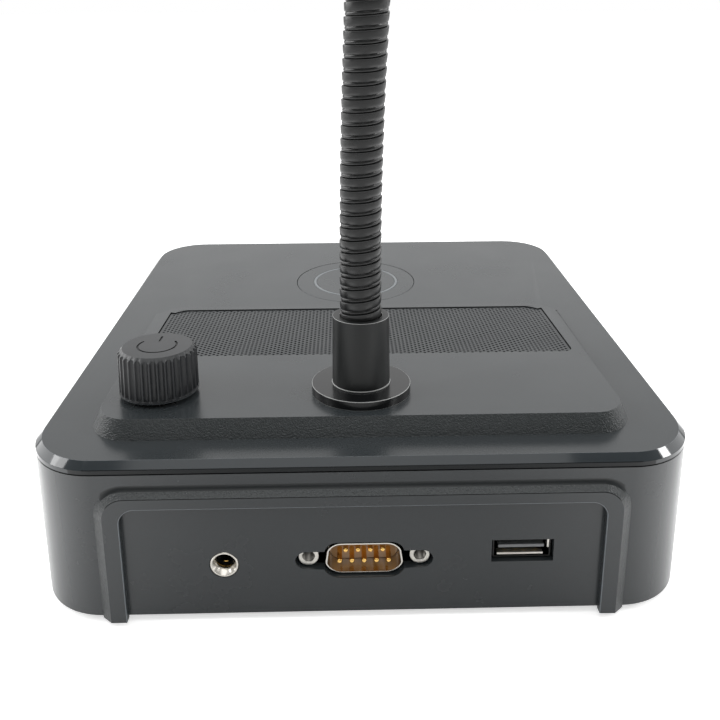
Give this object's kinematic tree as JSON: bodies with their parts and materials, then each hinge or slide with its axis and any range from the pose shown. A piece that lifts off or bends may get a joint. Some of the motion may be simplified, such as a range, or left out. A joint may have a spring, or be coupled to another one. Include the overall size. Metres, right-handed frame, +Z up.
{
  "type": "desk microphone",
  "caption": "Desk microphone: a bending gooseneck on a flat weighted counter base with a talk button, a volume knob, a perforated speaker grille and rear sockets.",
  "frame": {"origin": "on the table, under the middle of the object's outline box seen from above", "axes": "+Z up, +Y towards the rear wall with the sockets, +X to the side with the volume knob"},
  "size_m": [0.1506, 0.1594, 0.2806],
  "materials": {
    "casing_plastic": "satin",
    "feet_rubber": "matte",
    "steel": "satin",
    "grille_black": "satin",
    "cone_paper": "matte",
    "magnet": "matte",
    "button_plastic": "satin",
    "ring_translucent": "translucent",
    "switch_plastic": "satin",
    "board": "satin",
    "knob_plastic": "matte",
    "shaft_metal": "satin",
    "plated": "bright",
    "black_metal": "black anodised",
    "cable_rubber": "matte",
    "mesh_steel": "blackened",
    "capsule_metal": "satin",
    "ballast": "plain",
    "insulator_brown": "gloss",
    "pin_gold": "bright",
    "tongue_pale": "satin",
    "neck_black": "satin"
  },
  "bodies": {
    "base": {"lower_casing": "casing_plastic", "rubber_feet": "feet_rubber", "casing_screws": "steel", "top_cover": "casing_plastic", "speaker_grille": "grille_black", "speaker_frame": "steel", "speaker_cone": "cone_paper", "speaker_magnet": "magnet", "talk_switch": "switch_plastic", "switch_board": "board", "switch_screws": "steel", "control_body": "steel", "control_nut": "plated", "neck_flange": "black_metal", "neck_collar": "black_metal", "neck_washer": "steel", "neck_locknut": "plated", "main_board": "board", "board_screws": "steel", "ballast_plate": "ballast", "ballast_screws": "steel", "serial_shell": "plated", "serial_insulator": "insulator_brown", "serial_pins": "pin_gold", "serial_jackscrews": "plated", "jack_body": "switch_plastic", "jack_ring": "plated", "data_shell": "plated", "data_tongue": "tongue_pale", "gooseneck_lower": "neck_black", "gooseneck_bend_low": "neck_black", "neck_cable": "cable_rubber"},
    "volume_knob": {"volume_knob": "knob_plastic", "control_shaft": "shaft_metal"},
    "talk_button": {"talk_button": "button_plastic", "light_ring": "ring_translucent", "switch_plunger": "switch_plastic"},
    "neck_middle": {"gooseneck_middle": "neck_black", "gooseneck_bend_side": "neck_black"},
    "neck_upper": {"gooseneck_upper": "neck_black", "gooseneck_bend_high": "neck_black"},
    "microphone": {"gooseneck_tip": "neck_black", "head_ferrule": "black_metal", "head_housing": "black_metal", "head_mesh": "mesh_steel", "front_cap": "black_metal", "capsule_holder": "cable_rubber", "mic_capsule": "capsule_metal"}
  },
  "joints": [
    {"name": "volume_turn", "type": "hinge", "parent": "base", "child": "volume_knob", "pos_m": [0.049, 0.0525, 0.04392], "axis": [0, -0.0552, 0.9985], "range_deg": [-150, 150]},
    {"name": "talk_press", "type": "slide", "parent": "base", "child": "talk_button", "axis": [0, 0, -1], "range_m": [0, 0.0008], "stiffness_N_per_m": 900, "springref_m": -0.0008},
    {"name": "neck_low_bend", "type": "hinge", "parent": "base", "child": "neck_middle", "pos_m": [-0.00126, 0.05252, 0.12548], "axis": [1, 0, 0], "range_deg": [-40, 40], "deforming": ["gooseneck_bend_low", "neck_cable"]},
    {"name": "neck_side_bend", "type": "hinge", "parent": "neck_middle", "child": "neck_upper", "pos_m": [-0.00314, 0.05049, 0.1702], "axis": [0, 0.9781, 0.2079], "range_deg": [-35, 35], "deforming": ["gooseneck_bend_side", "neck_cable"]},
    {"name": "neck_tip_bend", "type": "hinge", "parent": "neck_upper", "child": "microphone", "pos_m": [-0.00502, 0.03374, 0.21168], "axis": [1, 0, 0], "range_deg": [-40, 40], "deforming": ["gooseneck_bend_high", "neck_cable"]}
  ]
}
